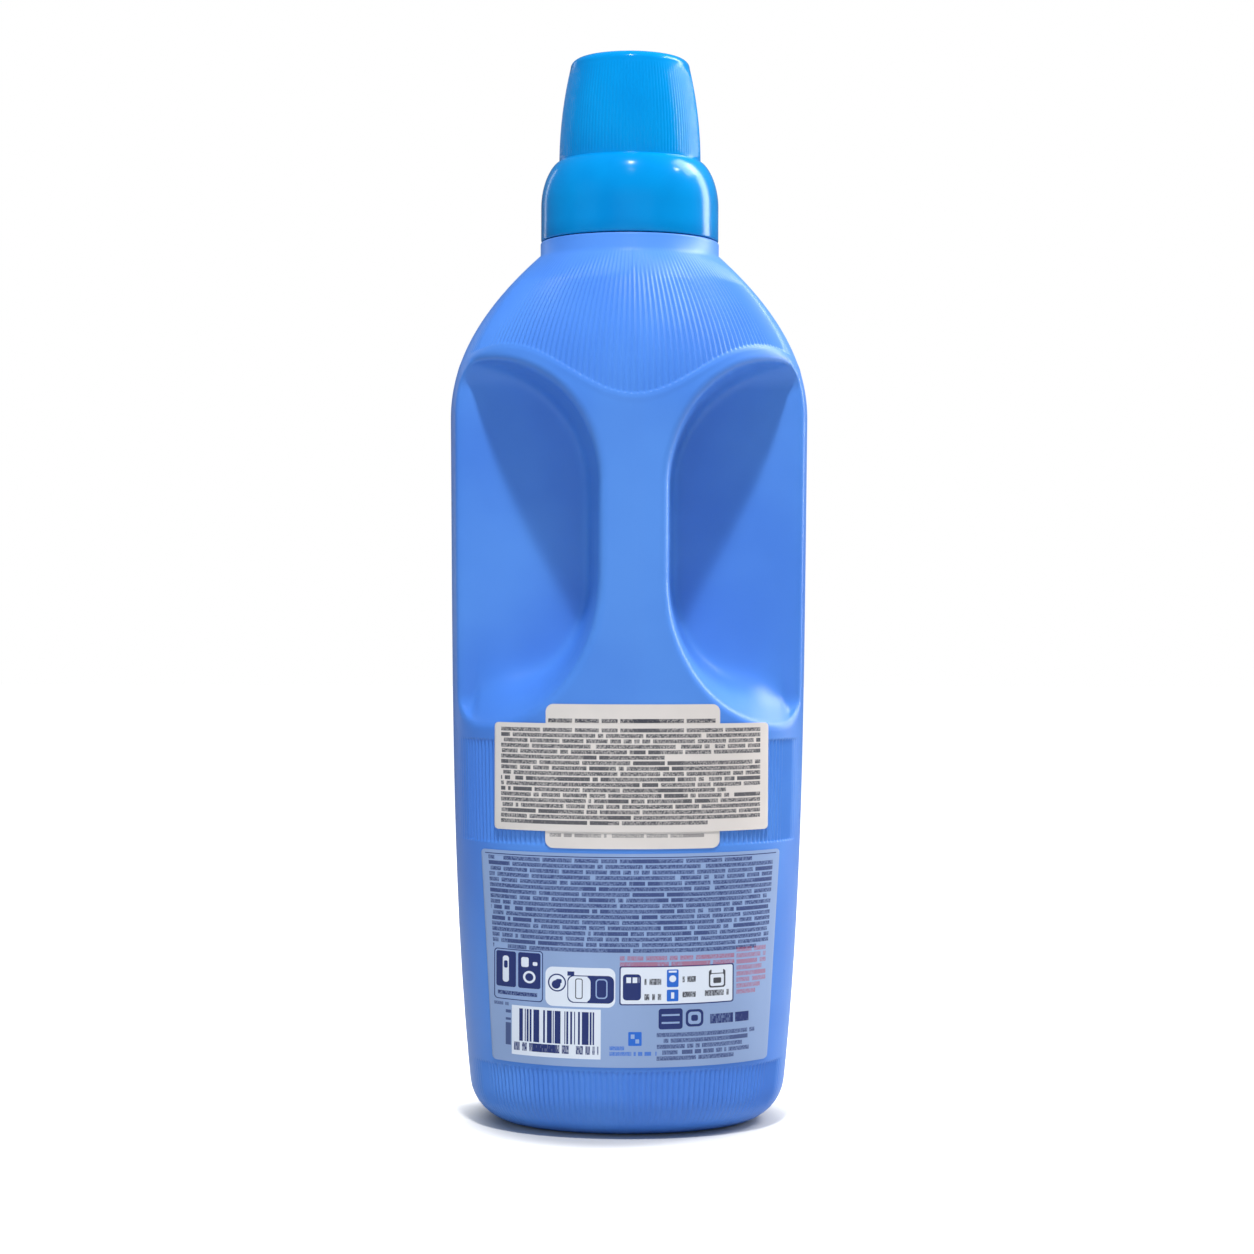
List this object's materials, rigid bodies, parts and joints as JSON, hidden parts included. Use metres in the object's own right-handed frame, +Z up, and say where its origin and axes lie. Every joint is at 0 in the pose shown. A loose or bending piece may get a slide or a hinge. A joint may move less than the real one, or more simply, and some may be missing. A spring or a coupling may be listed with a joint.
{
  "type": "fabric softener bottle",
  "caption": "Tall oval bottle for liquid fabric softener, with a pinch grip between side recesses, a pouring spout in the neck and a lift-off dosing cap.",
  "frame": {"origin": "middle of the base, on the surface that the bottle stands on", "axes": "+Z up through the neck; -Y is the side of the grip and the labels; +X is to the right seen from that side"},
  "size_m": [0.1196, 0.0987, 0.355],
  "materials": {
    "bottle_plastic": "satin periwinkle blue, blow moulded",
    "cap_plastic": "clean teal blue, glossy skirt and finely ribbed cup",
    "spout_plastic": "pale blue, moulded",
    "label_film": "pale blue printed film",
    "sticker_paper": "printed white paper"
  },
  "bodies": {
    "bottle": {"bottle": "bottle_plastic", "pour_spout": "spout_plastic", "back_label": "label_film", "sticker_under": "sticker_paper", "sticker_over": "sticker_paper"},
    "cap": {"dosing_cap": "cap_plastic"}
  },
  "joints": [
    {"name": "cap_lift", "type": "slide", "parent": "bottle", "child": "cap", "axis": [0, 0, 1], "range_m": [0, 0.08]}
  ]
}
